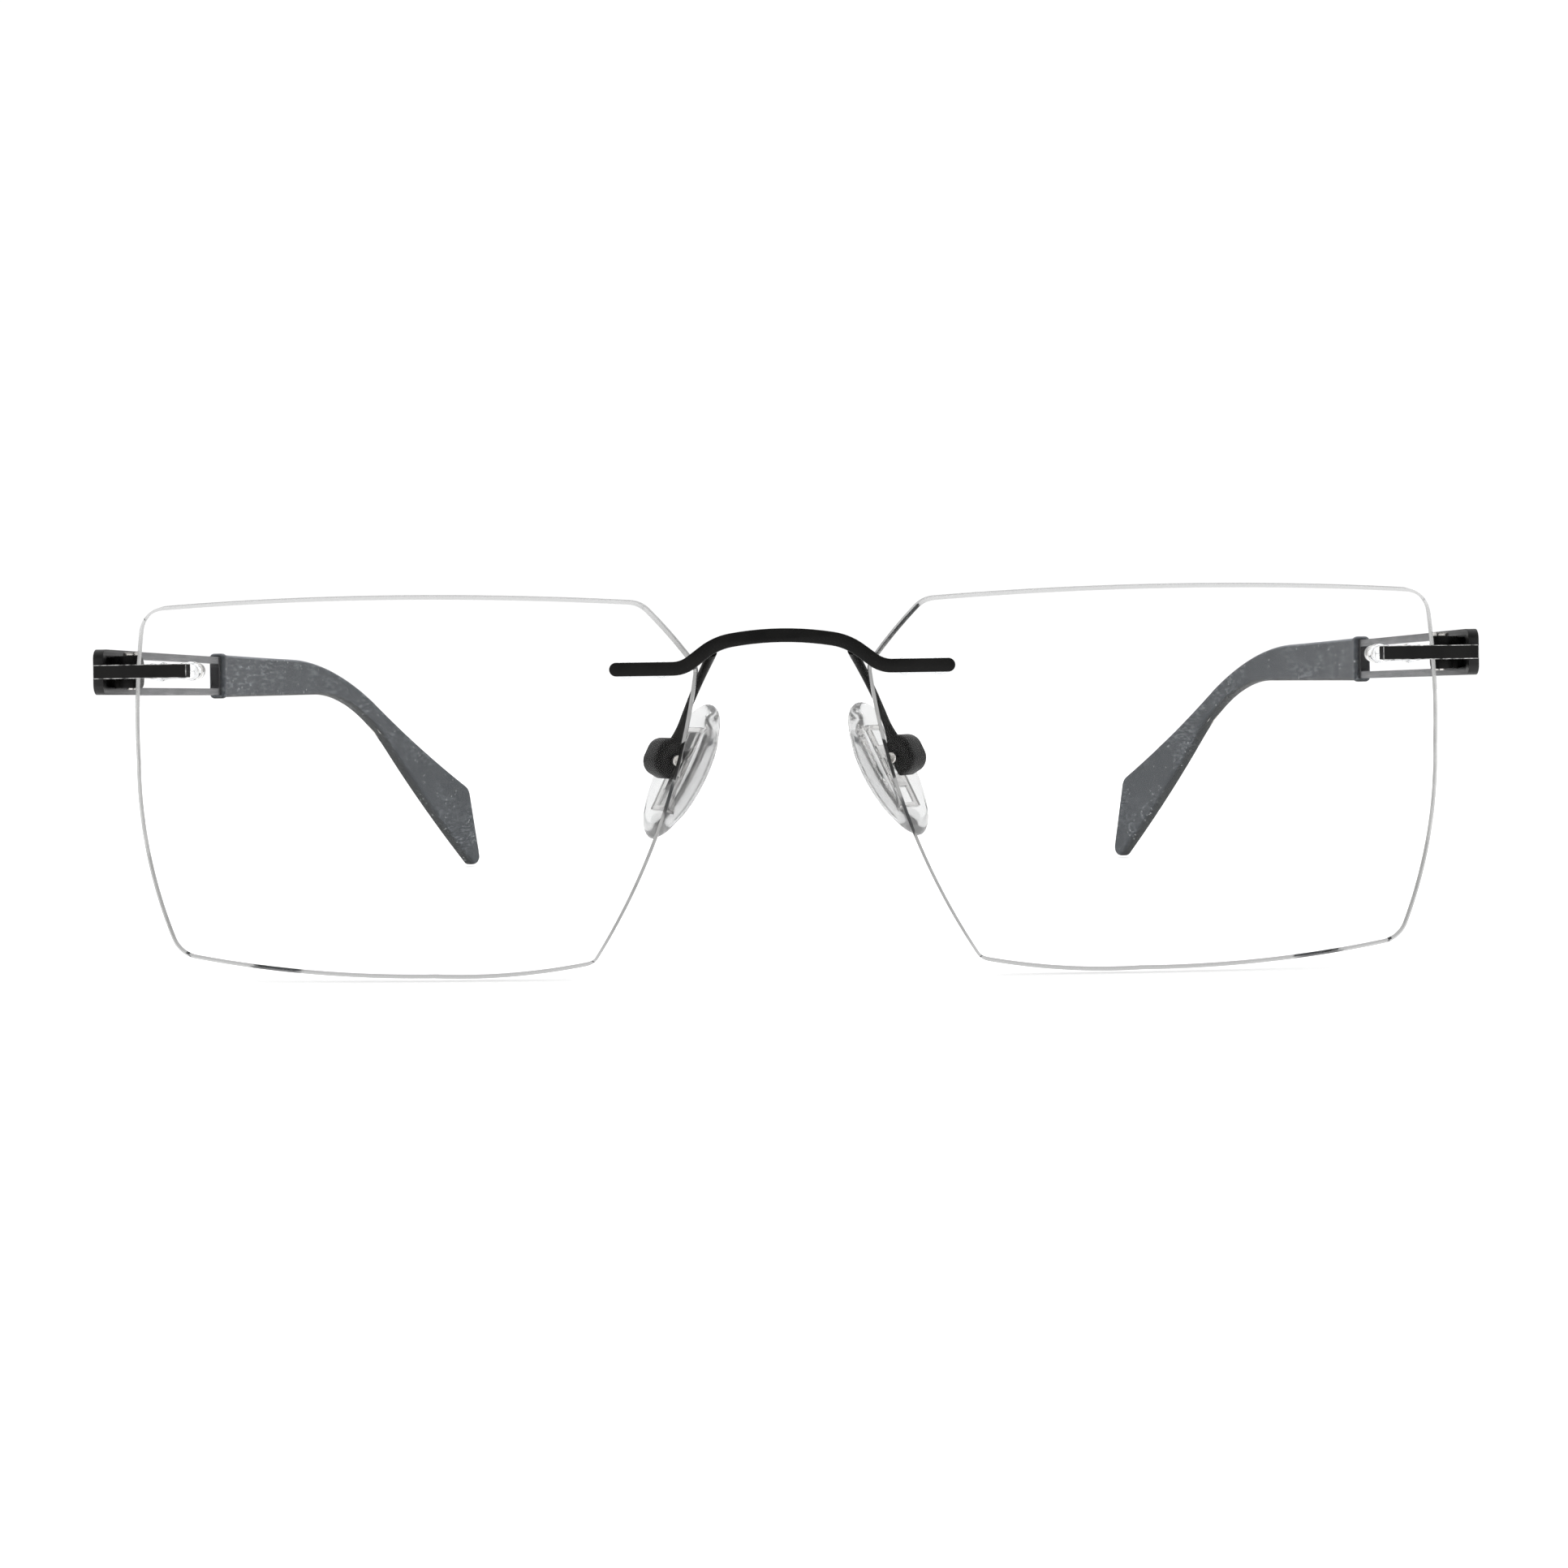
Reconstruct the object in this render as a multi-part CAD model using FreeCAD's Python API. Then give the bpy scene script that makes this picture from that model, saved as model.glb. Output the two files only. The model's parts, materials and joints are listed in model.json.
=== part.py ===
"""Rimless eyeglasses, built as separate pieces in millimetres.

+X is the wearer's left, +Y runs back along the temples and +Z is up. The glasses stand open
on a table at Z = 0, on the lower edges of the lenses and on the tips of the temples. Every
piece is made for the wearer's left side, and its mirror image is the right one.
"""
import FreeCAD, Part
import math
import os
from FreeCAD import Placement, Rotation, Vector

# Lenses: a spherical shell cut to an outline that is drawn in the lens's own plane
LENS_CENTRE = Vector(36.85, 0.83, 19.2)
LENS_CURVE = 132.0
LENS_THICK = 1.7
LENS_WRAP = 3.0
LENS_TILT = 8.5
LENS_START = (-22.95, 17.95)
LENS_EDGES = (
    ((2.55, 19.1), (27.3, 18.0)),
    ((28.25, 10.0), (28.55, 2.6)),
    ((28.0, -8.75), (25.8, -17.65)),
    ((12.7, -19.1), (-1.1, -19.55)),
    ((-10.9, -19.35), (-17.2, -18.5)),
    ((-24.6, -3.95), (-28.4, 11.3)),
    ((-25.75, 14.85), LENS_START),
)
CORNER_RADII = ((LENS_START, 3.0), ((27.3, 18.0), 3.0), ((25.8, -17.65), 3.0),
                ((-17.2, -18.5), 2.0), ((-28.4, 11.3), 1.8))

# Lens mounting: pins in clear plastic double plugs
PIN_RADIUS = 0.5
PIN_PITCH = 3.4
PLUG_RADIUS = 0.78
HOLE_RADIUS = 0.8
STRIP_THICK = 0.8
STRIP_HEIGHT = 1.6
BOSS_RADIUS = 0.95
STRIP_OVERHANG = 0.5
SEAT_GAP = 0.05
PIN_PROUD = 0.25
PIN_FIT = 0.02
BRIDGE_SEAT = (13.6, 30.85)
ENDPIECE_SEAT = (61.2, 31.4)

# Bridge bar: level ends joined by an arch
BRIDGE_HEIGHT = 1.35
BRIDGE_DEPTH = 1.1
BRIDGE_HALF = 16.85
BRIDGE_END_Z = 30.85
BRIDGE_ARCH = ((5.43,), (3.0, 37.0), (1.65,), (6.0, -27.4), (30.0, -19.2), (6.0, -27.4),
               (1.65,), (3.0, 37.0), (5.43,))
BRIDGE_BEND_X = 8.5
BRIDGE_BEND = 20.0
BRIDGE_OUTER_RUN = 10.0

# Endpiece bars
ENDPIECE_START_X = 58.9
ENDPIECE_HEIGHT = 1.4
ENDPIECE_THICK = 0.9
ENDPIECE_LEG_X = 67.4
ENDPIECE_END_X = 69.0
ENDPIECE_CORNER = 1.2
ENDPIECE_PAST_AXIS = 0.3

# Hinge
HINGE_X = 66.2
HINGE_Y = 7.3
HINGE_Z = 31.4
KNUCKLE_RADIUS = 1.25
KNUCKLE_HALF = 0.7
KNUCKLE_GAP = 0.05
HINGE_HALF = 1.65
SCREW_RADIUS = 0.5
SCREW_FIT = 0.03
SCREW_TAIL = 0.15
HEAD_RADIUS = 0.85
HEAD_HEIGHT = 0.35
HEAD_SLOT = 0.24
FOOT_LENGTH = 1.5
LEAF_START = 1.4
LEAF_THICK = 0.9
LEAF_LENGTH = 7.6
LEAF_CORNER = 0.9
LEAF_WEB = 0.6

# Temple frame, with its straight part splayed outwards a little and its rear part curving in
TEMPLE_FRONT_Y = 5.05
TEMPLE_X = 68.9
TEMPLE_THICK = 1.0
TEMPLE_SPLAY = 0.1
TEMPLE_HEIGHT = 4.6
RAIL_HEIGHT = 0.8
PLATE_CORNER = 1.0
RECESS_FRONT = 0.9
RECESS_END_Y = 15.6
RECESS_DEPTH = 0.5
SLOT_START_Y = 16.6
SLOT_CORNER = 0.5
SLOT_END_Y = 46.9
FRAME_END_Y = 51.5
TEMPLE_CURVE = 268.0
TEMPLE_TURN = 22.0
CURVE_START_Y = 47.0
TEMPLE_DROP = 0.42

# Temple sleeve and its core
SLEEVE_START_Y = 47.6
SLEEVE_THICK = 1.6
SLEEVE_INSET = 0.05
COLLAR_LENGTH = 1.4
COLLAR_STEP = 0.15
COLLAR_ROUND = 0.4
CORE_THICK = 0.9
CORE_HEIGHT = 1.6
CORE_CURVE = 50.0
CORE_CORNER = 0.4
CORE_BEND = (95.0, 30.7)
CORE_END = (128.0, 11.4)
CORE_LEAN = 31.0
SLEEVE_CORNERS = (
    (SLEEVE_START_Y, 33.7, 0.0),
    (92.0, 33.15, 73.0),
    (135.7, 12.7, 2.0),
    (139.76, -2.2, 1.42),
    (99.9, 28.55, 42.0),
    (SLEEVE_START_Y, 28.55, 0.0),
)

# Nose pads, in a frame at the pad screw: x into the nose, y along the screw, z up the pad
PAD_PIVOT = Vector(11.8, 7.9, 21.7)
PAD_SPLAY = 32.0
PAD_LEAN = 28.0
PAD_LENGTH = 15.0
PAD_WIDTH = 9.0
PAD_THICK = 2.5
PAD_ROUND = 0.9
PAD_BACK = 0.95
PAD_DROP = 0.35
INSERT_SIZE = Vector(0.8, 3.4, 9.2)
INSERT_DEPTH = 0.5
WINDOW_SIZE = Vector(2.0, 2.0, 1.8)
WINDOW_PITCH = 3.2
BOX_SIZE = Vector(2.7, 3.2, 4.0)
BOX_ROUND = 0.8
BOX_WALL = 0.3
BOX_FACE = 0.5
BOX_CAVITY = Vector(1.75, 1.7, 2.4)
TAB_THICK = 1.4
TAB_HALF = 0.8
PAD_SCREW_RADIUS = 0.35
PAD_HEAD_RADIUS = 0.55
PAD_HEAD_HEIGHT = 0.3
PAD_HEAD_SLOTS = (Vector(0.8, 1, 0.16), Vector(0.16, 1, 0.8))
ARM_RADIUS = 0.43
ARM_POINTS = (Vector(6.9, 1.0, 32.4), Vector(7.6, 3.6, 31.0), Vector(9.2, 5.6, 28.4),
              Vector(11.2, 7.6, 23.2))
ARM_BEND = 2.5


# Cutters and blanks start and end well outside what they cut
PAST = 5.0
OUTSIDE = (40.0, 90.0)
ABOVE_AND_BELOW = (-5.0, 60.0)


# ---- Shared helpers ----------------------------------------------------------------

VIEWS = {
    "front": lambda a, b: Vector(a, 0, b),
    "plan": lambda a, b: Vector(a, b, 0),
    "side": lambda a, b: Vector(0, a, b),
}


def arc_face(view, start, steps):
    """Closed face in one view, made of three-point arcs: each step is (point on it, end)."""
    place = VIEWS[view]
    edges = []
    here = start
    for via, end in steps:
        edges.append(Part.Arc(place(*here), place(*via), place(*end)).toShape())
        here = end
    return Part.Face(Part.Wire(edges))


def rounded_path(points, closed):
    """Straight runs with tangent arcs: each point is (position, radius of its corner)."""
    count = len(points)
    inner = range(count) if closed else range(1, count - 1)
    corners = {}
    for i in inner:
        corner, radius = points[i]
        if radius == 0:
            continue
        before = (points[i - 1][0] - corner).normalize()
        after = (points[(i + 1) % count][0] - corner).normalize()
        half = before.getAngle(after) / 2
        reach = radius / math.tan(half)
        middle = (before + after).normalize() * (radius / math.sin(half) - radius)
        corners[i] = (corner + before * reach, corner + middle, corner + after * reach)
    edges = []
    for i in range(count if closed else count - 1):
        j = (i + 1) % count
        run_start = corners[i][2] if i in corners else points[i][0]
        run_end = corners[j][0] if j in corners else points[j][0]
        edges.append(Part.makeLine(run_start, run_end))
        if j in corners:
            edges.append(Part.Arc(*corners[j]).toShape())
    return Part.Wire(edges)


def rounded_face(view, corners):
    """Closed face in one view: each corner is (first, second, radius)."""
    place = VIEWS[view]
    return Part.Face(rounded_path([(place(a, b), radius) for a, b, radius in corners], True))


def ribbon(view, start, heading, moves, width, round_ends=False):
    """Face of constant width along straight runs (length,) and arcs (radius, turn left)."""
    place = VIEWS[view]
    sides = {1: [], -1: []}
    x, y = start
    angle = math.radians(heading)

    def beside(px, py, direction, side):
        shift = side * width / 2
        return place(px - shift * math.sin(direction), py + shift * math.cos(direction))

    for move in moves:
        stops = [(x, y, angle)]
        if len(move) == 1:
            x += move[0] * math.cos(angle)
            y += move[0] * math.sin(angle)
            stops.append((x, y, angle))
        else:
            radius, turn = move
            bend = math.copysign(radius, turn)
            centre_x = x - bend * math.sin(angle)
            centre_y = y + bend * math.cos(angle)
            for _ in range(2):
                angle += math.radians(turn) / 2
                x = centre_x + bend * math.sin(angle)
                y = centre_y - bend * math.cos(angle)
                stops.append((x, y, angle))
        for side in sides:
            sides[side].append([beside(*stop, side) for stop in stops])

    def edge(points):
        if len(points) == 2:
            return Part.makeLine(*points)
        return Part.Arc(*points).toShape()

    def cap(px, py, direction, outward):
        ends = [beside(px, py, direction, outward), beside(px, py, direction, -outward)]
        if round_ends:
            tip_x = px + outward * width / 2 * math.cos(direction)
            tip_y = py + outward * width / 2 * math.sin(direction)
            ends.insert(1, place(tip_x, tip_y))
        return edge(ends)

    edges = [edge(points) for points in sides[1]]
    edges.append(cap(x, y, angle, 1))
    edges += [edge(points[::-1]) for points in sides[-1][::-1]]
    edges.append(cap(*start, math.radians(heading), -1))
    return Part.Face(Part.Wire(edges))


def prism(face, view, low, high):
    """The face of one view, carried along that view's own axis from low to high."""
    axis = {"front": Vector(0, 1, 0), "plan": Vector(0, 0, 1), "side": Vector(1, 0, 0)}[view]
    moved = face.copy()
    moved.translate(axis * low)
    return moved.extrude(axis * (high - low))


def rod(radius, start, end):
    """Round rod between two points."""
    along = end - start
    return Part.makeCylinder(radius, along.Length, start, along)


def block(low, high):
    """Box between its lowest and highest corners."""
    size = high - low
    return Part.makeBox(size.x, size.y, size.z, low)


# ---- Lens and its mounting ----------------------------------------------------------

LENS_PLACE = Placement(LENS_CENTRE, Rotation(Vector(0, 0, 1), LENS_WRAP)
                       * Rotation(Vector(1, 0, 0), LENS_TILT))
LENS_SPHERE = LENS_PLACE.multVec(Vector(0, LENS_CURVE, 0))


def seat(x, z):
    """Frame on the lens's front face: x along the bar that lies there, y into the lens."""
    across = x - LENS_SPHERE.x
    rise = z - LENS_SPHERE.z
    depth = math.sqrt(LENS_CURVE ** 2 - across ** 2 - rise ** 2)
    slope = math.degrees(math.atan2(across, depth))
    return Placement(Vector(x, LENS_SPHERE.y - depth, z), Rotation(Vector(0, 0, 1), slope))


def pin_places():
    """The two pin positions along a seat."""
    return (-PIN_PITCH / 2, PIN_PITCH / 2)


def placed(shape, place):
    """The shape moved from a seat's frame to the glasses' frame."""
    moved = shape.copy()
    moved.Placement = place.multiply(moved.Placement)
    return moved


def lens_holes(place):
    """Cutters for the two holes at one seat."""
    holes = [rod(HOLE_RADIUS, Vector(x, -PAST, 0), Vector(x, PAST, 0)) for x in pin_places()]
    return [placed(hole, place) for hole in holes]


def lens():
    """Clear meniscus lens with two holes at each end."""
    blank = prism(arc_face("front", LENS_START, LENS_EDGES), "front", -PAST, 3 * PAST)
    for (x, z), radius in CORNER_RADII:
        corner = [e for e in blank.Edges if abs(e.CenterOfMass.x - x) < 0.01
                  and abs(e.CenterOfMass.z - z) < 0.01]
        blank = blank.makeFillet(radius, corner)
    middle = Vector(0, LENS_CURVE, 0)
    front = Part.makeSphere(LENS_CURVE, middle)
    back = Part.makeSphere(LENS_CURVE - LENS_THICK, middle)
    shape = placed(blank.common(front.cut(back)), LENS_PLACE)
    for spot in (BRIDGE_SEAT, ENDPIECE_SEAT):
        for hole in lens_holes(seat(*spot)):
            shape = shape.cut(hole)
    return shape


def pins(spot, bar):
    """Two pins, from the back of the bar to just behind the plastic strip."""
    place = seat(*spot)
    start = -2 * SEAT_GAP
    end = LENS_THICK + 2 * SEAT_GAP + STRIP_THICK + PIN_PROUD
    both = [rod(PIN_RADIUS, Vector(x, start, 0), Vector(x, end, 0)) for x in pin_places()]
    return Part.Compound([placed(pin, place).cut(bar) for pin in both])


def bushing(spot):
    """Clear double plug: two barrels in the lens, a scalloped strip behind it."""
    place = seat(*spot)
    near = LENS_THICK + 2 * SEAT_GAP
    far = near + STRIP_THICK
    run = PIN_PITCH + 2 * STRIP_OVERHANG
    strip = ribbon("front", (-run / 2, 0), 0, [(run,)], STRIP_HEIGHT, True)
    shape = prism(strip, "front", near, far)
    for x in pin_places():
        shape = shape.fuse(rod(BOSS_RADIUS, Vector(x, near, 0), Vector(x, far, 0)))
        shape = shape.fuse(rod(PLUG_RADIUS, Vector(x, PIN_FIT, 0), Vector(x, far, 0)))
    for x in pin_places():
        shape = shape.cut(rod(PIN_RADIUS + PIN_FIT, Vector(x, -PAST, 0), Vector(x, PAST, 0)))
    return placed(shape.removeSplitter(), place)


# ---- Bridge and endpieces ------------------------------------------------------------

def bridge_bar():
    """Flat arched bar whose ends are bent forwards to lie on the lens faces."""
    straight_end = BRIDGE_HALF - BRIDGE_HEIGHT / 2
    face = ribbon("front", (-straight_end, BRIDGE_END_Z), 0, BRIDGE_ARCH, BRIDGE_HEIGHT, True)
    place = seat(*BRIDGE_SEAT)
    slope = place.Rotation.getYawPitchRoll()[0]
    back = place.multVec(Vector(0, -SEAT_GAP, 0))
    bend_y = back.y - (back.x - BRIDGE_BEND_X) * math.tan(math.radians(slope))
    middle_y = bend_y - BRIDGE_DEPTH / 2
    radians = math.radians(slope)
    plan_start = (-BRIDGE_BEND_X - BRIDGE_OUTER_RUN * math.cos(radians),
                  middle_y + BRIDGE_OUTER_RUN * math.sin(radians))
    reach = BRIDGE_BEND * math.tan(abs(radians) / 2)
    side_run = BRIDGE_OUTER_RUN - reach
    middle_run = 2 * (BRIDGE_BEND_X - reach)
    plan = [(side_run,), (BRIDGE_BEND, slope), (middle_run,), (BRIDGE_BEND, slope), (side_run,)]
    band = ribbon("plan", plan_start, -slope, plan, BRIDGE_DEPTH)
    return prism(face, "front", -PAST, PAST).common(prism(band, "plan", *ABOVE_AND_BELOW))


def endpiece():
    """Flat bar that ends in front of the temple, with a return just inside the temple."""
    place = seat(*ENDPIECE_SEAT)
    slope = place.Rotation.getYawPitchRoll()[0]
    middle = place.multVec(Vector(0, -SEAT_GAP - ENDPIECE_THICK / 2, 0))
    radians = math.radians(slope)
    start = (ENDPIECE_START_X, middle.y - (middle.x - ENDPIECE_START_X) * math.tan(radians))
    corner_x = ENDPIECE_LEG_X - ENDPIECE_CORNER + ENDPIECE_CORNER * math.sin(radians)
    run = (corner_x - ENDPIECE_START_X) / math.cos(radians)
    corner_y = start[1] + (corner_x - ENDPIECE_START_X) * math.tan(radians)
    leg_y = corner_y + ENDPIECE_CORNER * math.cos(radians)
    leg = HINGE_Y + ENDPIECE_PAST_AXIS - leg_y
    path = [(run,), (ENDPIECE_CORNER, 90 - slope), (leg,)]
    returned = ribbon("plan", start, slope, path, ENDPIECE_THICK)
    full_run = (ENDPIECE_END_X - ENDPIECE_START_X) / math.cos(radians)
    straight = ribbon("plan", start, slope, [(full_run,)], ENDPIECE_THICK)
    half = ENDPIECE_HEIGHT / 2
    both = [prism(band, "plan", HINGE_Z - half, HINGE_Z + half) for band in (straight, returned)]
    return both[0].fuse(both[1]).removeSplitter()


# ---- Hinge ---------------------------------------------------------------------------

def knuckle(low, high):
    """Round knuckle about the hinge axis between two heights from the hinge's middle."""
    base = Vector(HINGE_X, HINGE_Y, HINGE_Z)
    return rod(KNUCKLE_RADIUS, base + Vector(0, 0, low), base + Vector(0, 0, high))


def hinge_bore(radius):
    """Cutter for the screw's hole."""
    base = Vector(HINGE_X, HINGE_Y, HINGE_Z)
    return rod(radius, base + Vector(0, 0, -PAST), base + Vector(0, 0, PAST))


def hinge_knuckle():
    """Middle knuckle with a foot that is brazed to the inside of the endpiece's return."""
    inner_x = ENDPIECE_LEG_X - ENDPIECE_THICK / 2
    shape = knuckle(-KNUCKLE_HALF, KNUCKLE_HALF)
    foot_end = HINGE_Y + ENDPIECE_PAST_AXIS
    foot = block(Vector(HINGE_X, foot_end - FOOT_LENGTH, HINGE_Z - KNUCKLE_HALF),
                 Vector(inner_x, foot_end, HINGE_Z + KNUCKLE_HALF))
    shape = shape.fuse(foot)
    beyond = block(Vector(inner_x, HINGE_Y - PAST, 0), Vector(inner_x + PAST, HINGE_Y + PAST, 60))
    shape = shape.cut(beyond).cut(hinge_bore(SCREW_RADIUS + SCREW_FIT))
    return shape.removeSplitter()


def hinge_leaf(frame):
    """Upper and lower knuckles on a leaf that is brazed into the temple frame's recess."""
    face_x = TEMPLE_X - TEMPLE_THICK / 2
    near_y = HINGE_Y + LEAF_START
    far_y = near_y + LEAF_LENGTH
    top = HINGE_Z + HINGE_HALF
    bottom = HINGE_Z - HINGE_HALF
    side = rounded_face("side", [(near_y, top, 0), (far_y, top, LEAF_CORNER),
                                 (far_y, bottom, LEAF_CORNER), (near_y, bottom, 0)])
    shape = prism(side, "side", face_x - LEAF_THICK, face_x + RECESS_DEPTH)
    for side in (-1, 1):
        low, high = sorted((side * (KNUCKLE_HALF + KNUCKLE_GAP), side * HINGE_HALF))
        web = block(Vector(HINGE_X, HINGE_Y, HINGE_Z + low),
                    Vector(face_x - LEAF_THICK / 2, near_y + LEAF_WEB, HINGE_Z + high))
        shape = shape.fuse(knuckle(low, high)).fuse(web)
    shape = shape.cut(hinge_bore(SCREW_RADIUS))
    return shape.removeSplitter().cut(frame)


def hinge_screw():
    """Vertical screw with a slotted head above the top knuckle."""
    base = Vector(HINGE_X, HINGE_Y, HINGE_Z)
    top = base + Vector(0, 0, HINGE_HALF)
    head = rod(HEAD_RADIUS, top, top + Vector(0, 0, HEAD_HEIGHT))
    shank = rod(SCREW_RADIUS, base - Vector(0, 0, HINGE_HALF + SCREW_TAIL), top)
    slot = block(top + Vector(-PAST, -HEAD_SLOT / 2, HEAD_HEIGHT / 2),
                 top + Vector(PAST, HEAD_SLOT / 2, PAST))
    return head.cut(slot).fuse(shank).removeSplitter()


# ---- Temple --------------------------------------------------------------------------

def temple_band(width, inset=0.0):
    """Plan of the temple: a straight splayed part, then one large arc inwards."""
    splay = math.radians(TEMPLE_SPLAY)
    straight = (CURVE_START_Y - TEMPLE_FRONT_Y) / math.cos(splay)
    start = (TEMPLE_X - inset, TEMPLE_FRONT_Y)
    path = [(straight,), (TEMPLE_CURVE, TEMPLE_TURN)]
    return ribbon("plan", start, 90 - TEMPLE_SPLAY, path, width)


def temple_band_block():
    """The temple frame's full thickness, at any height."""
    return prism(temple_band(TEMPLE_THICK), "plan", *ABOVE_AND_BELOW)


def axis_height(y):
    """Height of the temple's middle line, which falls a little towards the back."""
    return HINGE_Z - (y - HINGE_Y) * math.tan(math.radians(TEMPLE_DROP))


def frame_corners(front, back, half, radius):
    """Corners of a bar about the temple's middle line, for rounded_face."""
    return [
        (front, axis_height(front) + half, radius[0]),
        (back, axis_height(back) + half, radius[1]),
        (back, axis_height(back) - half, radius[1]),
        (front, axis_height(front) - half, radius[0]),
    ]


def temple_frame():
    """Flat metal frame: a recess for the hinge, then two rails round a long open slot."""
    half = TEMPLE_HEIGHT / 2
    corners = frame_corners(TEMPLE_FRONT_Y, FRAME_END_Y, half, (PLATE_CORNER, 0))
    outside = rounded_face("side", corners)
    open_half = half - RAIL_HEIGHT
    radii = (SLOT_CORNER, SLOT_CORNER)
    slot = rounded_face("side", frame_corners(SLOT_START_Y, SLOT_END_Y, open_half, radii))
    recess_front = TEMPLE_FRONT_Y + RECESS_FRONT
    recess = rounded_face("side", frame_corners(recess_front, RECESS_END_Y, open_half, radii))
    shape = prism(outside, "side", *OUTSIDE).cut(prism(slot, "side", *OUTSIDE))
    floor_x = TEMPLE_X - TEMPLE_THICK / 2 + RECESS_DEPTH
    shape = shape.cut(prism(recess, "side", OUTSIDE[0], floor_x))
    return shape.common(temple_band_block())


def temple_core():
    """Flat wire that stiffens the sleeve, brazed to the frame's rear end."""
    half = CORE_HEIGHT / 2
    start_z = axis_height(FRAME_END_Y)
    lean = half * math.tan(math.radians(CORE_LEAN))
    corners = [
        (FRAME_END_Y, start_z + half, 0),
        (CORE_BEND[0] + lean / 2, CORE_BEND[1] + half, CORE_CURVE),
        (CORE_END[0] + lean, CORE_END[1] + half, CORE_CORNER),
        (CORE_END[0] - lean, CORE_END[1] - half, CORE_CORNER),
        (CORE_BEND[0] - lean / 2, CORE_BEND[1] - half, CORE_CURVE - CORE_HEIGHT),
        (FRAME_END_Y, start_z - half, 0),
    ]
    shape = prism(rounded_face("side", corners), "side", *OUTSIDE)
    return shape.common(prism(temple_band(CORE_THICK), "plan", *ABOVE_AND_BELOW))


def temple_sleeve(frame, core):
    """Soft sleeve with a collar, a bend over the ear and a paddle-shaped tip."""
    side = prism(rounded_face("side", SLEEVE_CORNERS), "side", *OUTSIDE)
    plan = prism(temple_band(SLEEVE_THICK, SLEEVE_INSET), "plan", *ABOVE_AND_BELOW)
    shape = side.common(plan)
    top = SLEEVE_CORNERS[0][1] + COLLAR_STEP
    bottom = SLEEVE_CORNERS[-1][1] - COLLAR_STEP
    end_y = SLEEVE_START_Y + COLLAR_LENGTH
    collar_side = rounded_face("side", [
        (SLEEVE_START_Y, top, COLLAR_ROUND),
        (end_y, top, COLLAR_STEP),
        (end_y, bottom, COLLAR_STEP),
        (SLEEVE_START_Y, bottom, COLLAR_ROUND),
    ])
    collar_plan = temple_band(SLEEVE_THICK + 2 * COLLAR_STEP, SLEEVE_INSET)
    collar = prism(collar_side, "side", *OUTSIDE)
    collar = collar.common(prism(collar_plan, "plan", *ABOVE_AND_BELOW))
    return shape.fuse(collar).cut(frame).cut(core).removeSplitter()


# ---- Nose pads -----------------------------------------------------------------------

# The pad's frame: x points into the nose, y forwards along the screw, z up the pad
PAD_PLACE = Placement(PAD_PIVOT, Rotation(Vector(0, 0, 1), -PAD_SPLAY)
                      * Rotation(Vector(0, 1, 0), -PAD_LEAN) * Rotation(Vector(0, 0, 1), 180))


def pad_screw():
    """Bright screw with a cross slot, through the box and the pad's boss."""
    half = BOX_SIZE.y / 2
    head = rod(PAD_HEAD_RADIUS, Vector(0, half, 0), Vector(0, half + PAD_HEAD_HEIGHT, 0))
    for size in PAD_HEAD_SLOTS:
        low = Vector(-size.x / 2, half + PAD_HEAD_HEIGHT / 2, -size.z / 2)
        head = head.cut(block(low, low + size))
    shank = rod(PAD_SCREW_RADIUS, Vector(0, BOX_WALL - half, 0), Vector(0, half, 0))
    return placed(head.fuse(shank).removeSplitter(), PAD_PLACE)


def pad_box_blank():
    """Outside of the pad box, with its outer corners well rounded."""
    low = Vector(BOX_FACE - BOX_SIZE.x, -BOX_SIZE.y / 2, -BOX_SIZE.z / 2)
    blank = block(low, low + BOX_SIZE)
    outer = [e for e in blank.Edges if abs(e.CenterOfMass.x - low.x) < 0.01]
    return blank.makeFillet(BOX_ROUND, outer)


def pad_box():
    """Black cup, open towards the nose, for the boss of the pad."""
    low = Vector(BOX_FACE - BOX_CAVITY.x, -BOX_CAVITY.y / 2, -BOX_CAVITY.z / 2)
    cavity = block(low, low + BOX_CAVITY + Vector(PAST, 0, 0))
    shape = pad_box_blank().cut(cavity)
    hole = rod(PAD_SCREW_RADIUS, Vector(0, BOX_WALL - BOX_SIZE.y / 2, 0), Vector(0, PAST, 0))
    return placed(shape.cut(hole), PAD_PLACE)


def pad_arm(bridge):
    """Bent wire from the back of the bridge to the top of the pad box."""
    path = rounded_path([(ARM_POINTS[0], 0), (ARM_POINTS[1], ARM_BEND),
                         (ARM_POINTS[2], ARM_BEND), (ARM_POINTS[3], 0)], False)
    along = ARM_POINTS[1] - ARM_POINTS[0]
    ring = Part.Wire(Part.makeCircle(ARM_RADIUS, ARM_POINTS[0], along))
    shape = path.makePipeShell([ring], True, True)
    return shape.cut(placed(pad_box_blank(), PAD_PLACE)).cut(bridge)


def pad_middle():
    """Middle of the nose pad, in the pad's frame."""
    return Vector(PAD_BACK, 0, -PAD_DROP)


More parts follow.
